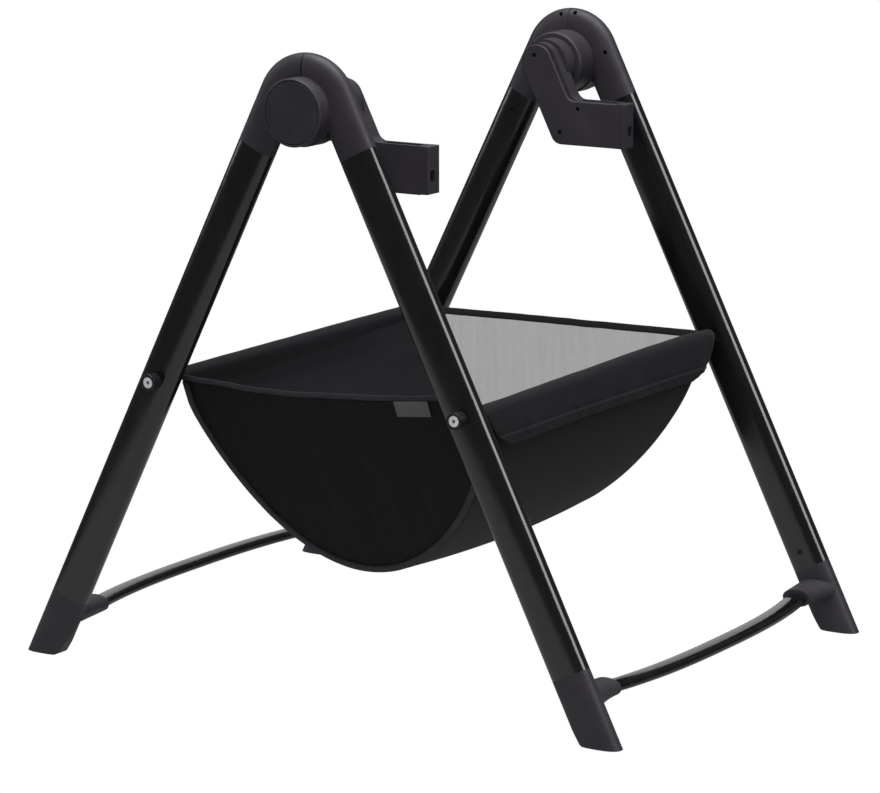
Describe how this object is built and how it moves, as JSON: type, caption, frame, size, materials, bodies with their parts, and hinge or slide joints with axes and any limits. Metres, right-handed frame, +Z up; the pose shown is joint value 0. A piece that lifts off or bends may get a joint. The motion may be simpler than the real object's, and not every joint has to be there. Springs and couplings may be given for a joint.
{
  "type": "folding bassinet stand",
  "caption": "Folding A-frame bassinet stand with oval black legs, round push-lock hinges, side brackets for a bassinet and a hanging fabric storage basket.",
  "frame": {"origin": "centre of the footprint, on the floor", "axes": "+Z up; X across the spread legs, with the front frame and its brackets at +X; Y along the fold axis, from the near A-frame to the far one"},
  "size_m": [0.771, 0.6156, 0.7007],
  "materials": {
    "black_gloss_tube": "gloss black powder coat",
    "dark_screw": "blackened",
    "bright_bolt": "bright zinc",
    "steel": "plain",
    "black_gloss_plastic": "gloss",
    "mesh_fabric": "fine open mesh",
    "black_fabric": "plain woven",
    "label_fabric": "woven tape",
    "charcoal_plastic": "fine matte"
  },
  "bodies": {
    "front_frame": {"front_leg_near": "black_gloss_tube", "front_leg_far": "black_gloss_tube", "front_foot_near": "charcoal_plastic", "front_foot_far": "charcoal_plastic", "front_hinge_shell_near": "charcoal_plastic", "front_hinge_shell_far": "charcoal_plastic", "front_hinge_cover_near": "charcoal_plastic", "front_hinge_cover_far": "charcoal_plastic", "hub_near": "charcoal_plastic", "hub_far": "charcoal_plastic", "axle_near": "steel", "axle_far": "steel", "axle_nut_near": "steel", "axle_nut_far": "steel", "bracket_back_near": "charcoal_plastic", "bracket_back_far": "charcoal_plastic", "bracket_cover_near": "charcoal_plastic", "bracket_cover_far": "charcoal_plastic", "bracket_end_near": "charcoal_plastic", "bracket_end_far": "charcoal_plastic", "end_panel_near": "mesh_fabric", "end_panel_far": "mesh_fabric", "binding_near": "black_fabric", "binding_far": "black_fabric", "front_crossbar": "black_gloss_tube", "front_rod": "black_gloss_tube", "front_spacers": "black_gloss_plastic", "front_bolts": "bright_bolt", "front_sleeve": "black_fabric", "front_leg_screws": "dark_screw", "front_housing_screws": "dark_screw", "cover_screws": "dark_screw", "sling": "black_fabric", "label": "label_fabric"},
    "rear_frame": {"rear_leg_near": "black_gloss_tube", "rear_leg_far": "black_gloss_tube", "rear_foot_near": "charcoal_plastic", "rear_foot_far": "charcoal_plastic", "rear_hinge_shell_near": "charcoal_plastic", "rear_hinge_shell_far": "charcoal_plastic", "rear_hinge_cover_near": "charcoal_plastic", "rear_hinge_cover_far": "charcoal_plastic", "rear_crossbar": "black_gloss_tube", "rear_rod": "black_gloss_tube", "rear_spacers": "black_gloss_plastic", "rear_bolts": "bright_bolt", "rear_sleeve": "black_fabric", "rear_leg_screws": "dark_screw", "rear_housing_screws": "dark_screw"},
    "near_button": {"button_near": "charcoal_plastic", "lock_gear_near": "steel", "lock_spring_near": "steel"},
    "far_button": {"button_far": "charcoal_plastic", "lock_gear_far": "steel", "lock_spring_far": "steel"}
  },
  "joints": [
    {"name": "fold", "type": "hinge", "parent": "front_frame", "child": "rear_frame", "pos_m": [0, 0, 0.64], "axis": [0, -1, 0], "range_deg": [0, 50], "deforming": ["sling", "end_panel_near", "end_panel_far", "binding_near", "binding_far", "label"]},
    {"name": "near_button_press", "type": "slide", "parent": "front_frame", "child": "near_button", "axis": [0, 1, 0], "range_m": [0, 0.005], "stiffness_N_per_m": 1500, "springref_m": -0.002, "deforming": ["lock_spring_near"]},
    {"name": "far_button_press", "type": "slide", "parent": "front_frame", "child": "far_button", "axis": [0, -1, 0], "range_m": [0, 0.005], "stiffness_N_per_m": 1500, "springref_m": -0.002, "deforming": ["lock_spring_far"]}
  ]
}
